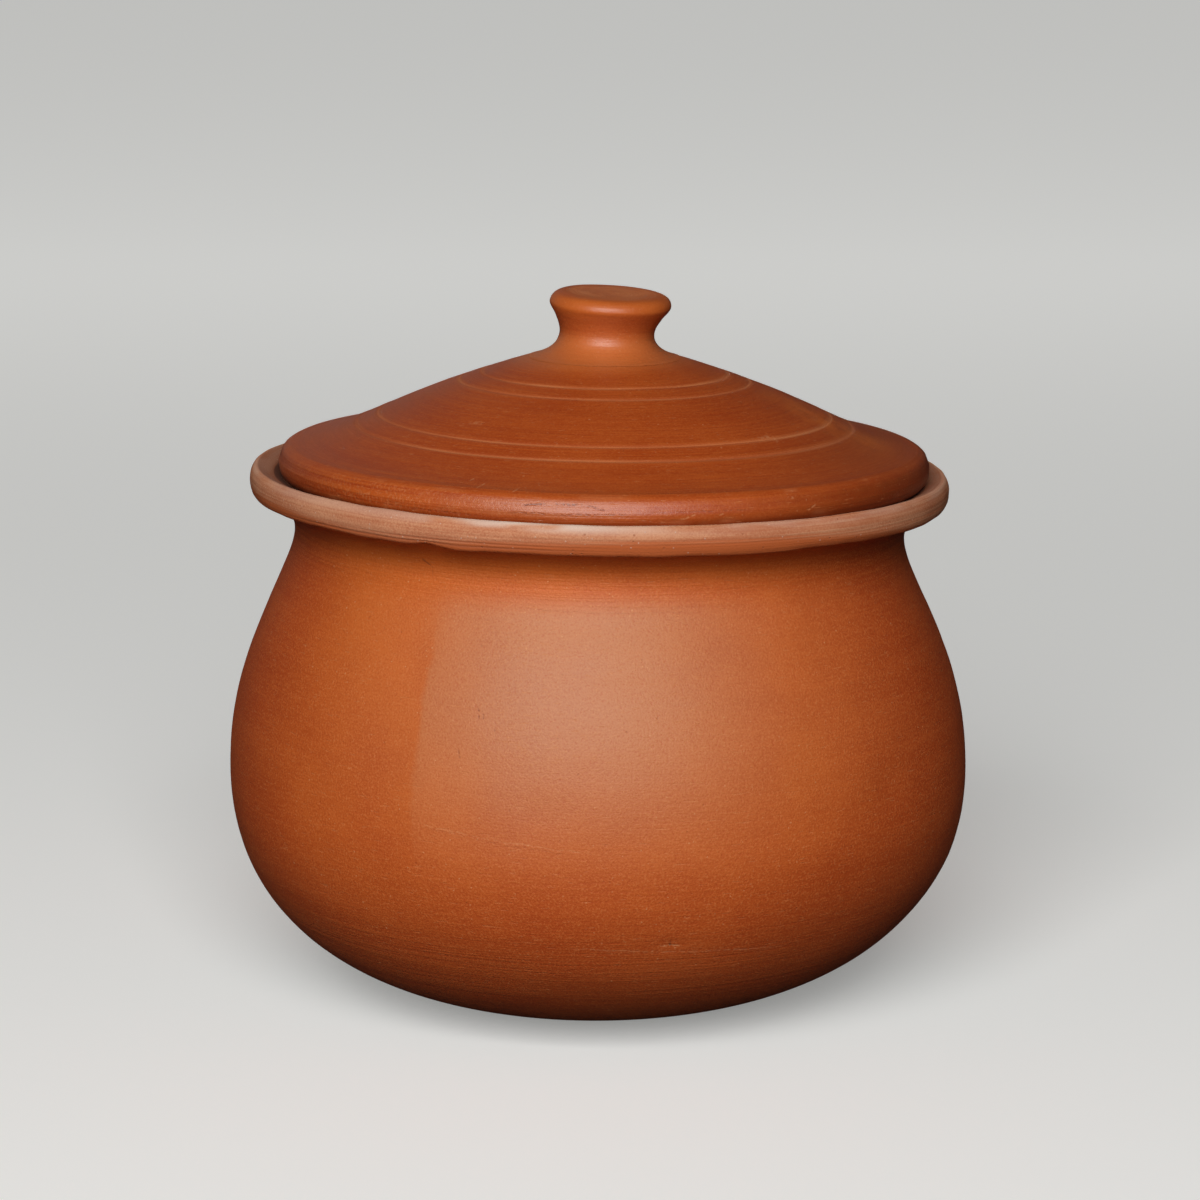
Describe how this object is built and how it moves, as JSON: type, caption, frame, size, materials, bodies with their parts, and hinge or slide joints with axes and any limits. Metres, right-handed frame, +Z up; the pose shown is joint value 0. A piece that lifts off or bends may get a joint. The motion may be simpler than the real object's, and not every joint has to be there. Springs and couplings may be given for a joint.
{
  "type": "curd pot",
  "caption": "Round-bellied terracotta curd pot with a flanged neck, a bare clay collar that seats the lid, and a loose domed lid with a turned knob.",
  "frame": {"origin": "middle of the flat on the underside of the pot, on the surface it stands on", "axes": "+Z up along the pot's turning axis; -Y towards the side seen in the picture, +X to the right of that view"},
  "size_m": [0.156, 0.156, 0.147],
  "materials": {
    "pot_slip": "orange-red slip burnished to a satin sheen, with fine sand specks",
    "bare_clay": "matt bare fired clay, pale pinkish tan",
    "lid_slip": "deeper red-brown slip burnished to a soft sheen"
  },
  "bodies": {
    "pot": {"pot_body": "pot_slip", "rim_collar": "bare_clay"},
    "lid": {"lid_dome": "lid_slip", "lid_knob": "lid_slip"}
  },
  "joints": [
    {"name": "lid_lift", "type": "slide", "parent": "pot", "child": "lid", "axis": [0, 0, 1], "range_m": [0, 0.12]}
  ]
}
